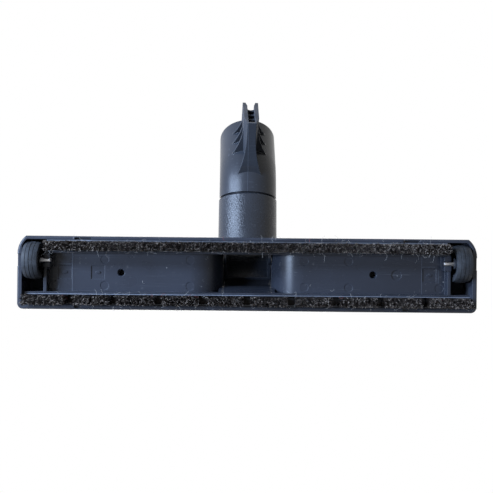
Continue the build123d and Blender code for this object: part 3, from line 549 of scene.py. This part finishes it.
hub = moulded(
    "hub_plastic",
    colour=(0.034, 0.036, 0.042),
    rough=0.4,
    grain=1800,
    grain_height=0.00003,
    dust=0.3,
)
for side in ("left", "right"):
    dress("tyre_" + side, rubber)
    dress("wheel_hub_" + side, hub)
    dress("axle_" + side, steel)

# Top cover: the upper shell, in a like plastic with a fine skin, held by steel screws from inside
# the brush channels. Its hump leaves a way open for the neck, which turns on steel pins pressed
# into ears of the base and is sealed with felt.

cover = moulded(
    "cover_plastic",
    colour=(0.038, 0.041, 0.05),
    rough=0.32,
    grain=2200,
    grain_height=0.00003,
    dust=0.12,
)
dress("top_cover", cover)
felt_deep, felt_light, fuzz_height = (0.03, 0.03, 0.033, 1), (0.12, 0.12, 0.125, 1), 0.0003
felt, wire, shader = finish_of("seal_felt")
place = wire.node("TexCoord", out="Object")
fuzz = spread(place, scale=2400, detail=6.0)
fuzz.blend(felt_deep, felt_light).into(shader.inputs["Base Color"])
lumps = {"Height": fuzz, "Distance": fuzz_height}
wire.node("Bump", sockets=lumps).into(shader.inputs["Normal"])
shader.inputs["Roughness"].default_value = 0.95
for node in ("drum_felt_front", "drum_felt_rear", "swivel_seal"):
    dress(node, felt)
for node in ("cover_screws", "pivot_pin_left", "pivot_pin_right"):
    dress(node, steel)

# Neck: the tilting lower section is moulded with a coarse spark texture; the elbow that swivels in
# it is finer and carries the ribbed parking hook. A split plastic ring holds the two together.


def parting_line(place):
    """Fine ridge where the two halves of the elbow's mould met, along its middle plane."""
    line_core, line_edge = 0.00008, 0.00022
    return 1 - abs(place.axis("X")).step(line_core, line_edge)


def off_tube(place):
    """The parking hook with its ribs: what stands out from the elbow's tube on the lower side."""
    tube_radius, clear_radius, clear_below = 0.0206, 0.0212, 0.004
    reach = place.vector("SUBTRACT", socket)
    away = reach.vector("CROSS_PRODUCT", tube_axis).vector("LENGTH", out="Value")
    below = reach.vector("DOT_PRODUCT", hook_side, "Value")
    return away.step(tube_radius, clear_radius) * below.step(0.0, clear_below)


mounts = {mount["name"]: mount for mount in frame["record"]["mounts"]}
socket = tuple(mounts["wand_socket"]["pos_m"])
tube_axis = tuple(mounts["wand_socket"]["axis"])
hook_side = (0, tube_axis[2], -tube_axis[1])
neck_charcoal = (0.0285, 0.0325, 0.041)
coarse = moulded(
    "neck_plastic",
    colour=neck_charcoal,
    rough=0.24,
    grain=900,
    grain_height=0.0009,
    dust=0.05,
    gloss=0.27,
)
dress("lower_neck", coarse)
fine = moulded(
    "elbow_plastic",
    colour=neck_charcoal,
    rough=0.26,
    grain=1500,
    grain_height=0.00022,
    dust=0.04,
    gloss=0.25,
    marks=parting_line,
    matt=off_tube,
)
dress("swivel_elbow", fine)
dress("retaining_ring", strip_plastic)

# Stage: a plain pale floor that is seen from above only, so that the sole can be seen from below,
# cool soft daylight from the left of the picture, and the camera under the sole.

floor_half, floor_gap, fade_start, fade_end = 3.0, 0.0005, 0.22, 0.75
square = ((-1, -1), (1, -1), (1, 1), (-1, 1))
floor_corners = [(x * floor_half, y * floor_half, 0) for x, y in square]
floor_mesh = bpy.data.meshes.new("floor")
floor_mesh.from_pydata(floor_corners, [], [(0, 1, 2, 3)])
floor = bpy.data.objects.new("floor", floor_mesh)
bpy.context.collection.objects.link(floor)
floor.location.z = -floor_gap
pale, wire, shader = finish_of("pale_floor")
shader.inputs["Base Color"].default_value = (0.8, 0.8, 0.8, 1)
shader.inputs["Roughness"].default_value = 0.9
seen = wire.node("LightPath", out="Is Camera Ray")
above = 1 - wire.node("NewGeometry", out="Backfacing")
place = wire.node("TexCoord", out="Object")
near = 1 - place.vector("LENGTH", out="Value").step(fade_start, fade_end)
clear = wire.node("BsdfTransparent")
solid = Wired(wire.tree, shader.outputs[0])
shown = wire.node("MixShader", sockets={0: seen * above * near, 1: clear, 2: solid})
shown.into(wire.tree.nodes["Material Output"].inputs["Surface"])
floor_mesh.materials.append(pale)

world = bpy.data.worlds.new("daylight")
bpy.context.scene.world = world
world.use_nodes = True
sky = Wired(world.node_tree)
for old in list(world.node_tree.nodes):
    world.node_tree.nodes.remove(old)
straight = sky.node("LightPath", out="Is Camera Ray")
mirrored = sky.node("LightPath", out="Is Glossy Ray")
through = sky.node("LightPath", out="Is Transmission Ray")
white = sky.node("Background", sockets={"Color": (1, 1, 1, 1), "Strength": 1.0})
soft = sky.node("Background", sockets={"Color": (1.0, 0.97, 0.92, 1), "Strength": 0.06})
lit = sky.node("MixShader", sockets={0: straight + mirrored + through, 1: soft, 2: white})
sky_output = world.node_tree.nodes.new("ShaderNodeOutputWorld")
lit.into(sky_output.inputs["Surface"])


def lamp(name, spot, aim, size, power, colour, roll=0.0):
    """Area lamp at a spot, facing its aim and rolled about that line by some degrees."""
    light = bpy.data.lights.new(name, "AREA")
    light.shape = "RECTANGLE"
    light.size, light.size_y = size
    light.energy = power
    light.color = colour
    holder = bpy.data.objects.new(name, light)
    bpy.context.collection.objects.link(holder)
    holder.location = spot
    facing = (Vector(aim) - Vector(spot)).to_track_quat("-Z", "Y")
    rolled = facing @ Quaternion((0, 0, 1), math.radians(roll))
    holder.rotation_euler = rolled.to_euler()


daylight, room_white = (0.56, 0.72, 1.0), (1, 0.99, 0.97)
lamp(
    "window_light",
    spot=(0.73, head_y + 0.06, -0.59),
    aim=(0, head_y, 0.02),
    size=(0.1, 0.34),
    power=10,
    colour=daylight,
)
lamp(
    "sky_light",
    spot=(0.735, head_y + 0.375, -0.427),
    aim=(0, head_y + 0.045, 0.038),
    size=(0.14, 0.8),
    power=17,
    colour=daylight,
    roll=23,
)
lamp(
    "room_light",
    spot=(0.25, head_y - 0.6, 1.0),
    aim=(0, head_y, 0.03),
    size=(0.8, 0.8),
    power=16,
    colour=room_white,
)
lamp(
    "back_light",
    spot=(0.1, head_y + 0.95, 1.1),
    aim=(0, head_y + 0.03, 0.04),
    size=(0.7, 0.7),
    power=16,
    colour=room_white,
)

sensor_mm, focal_pixels, picture_pixels = 36.0, 645, 493
picture_turn = math.radians(-0.55)
camera = bpy.data.objects.new("camera", bpy.data.cameras.new("camera"))
bpy.context.collection.objects.link(camera)
camera.data.sensor_width = sensor_mm
camera.data.lens = sensor_mm * focal_pixels / picture_pixels
camera.location = (0.0006, head_y + 0.0182, -0.412)
camera.rotation_euler = (0, math.pi, picture_turn)
bpy.context.scene.camera = camera
bpy.context.scene.view_settings.view_transform = "Standard"
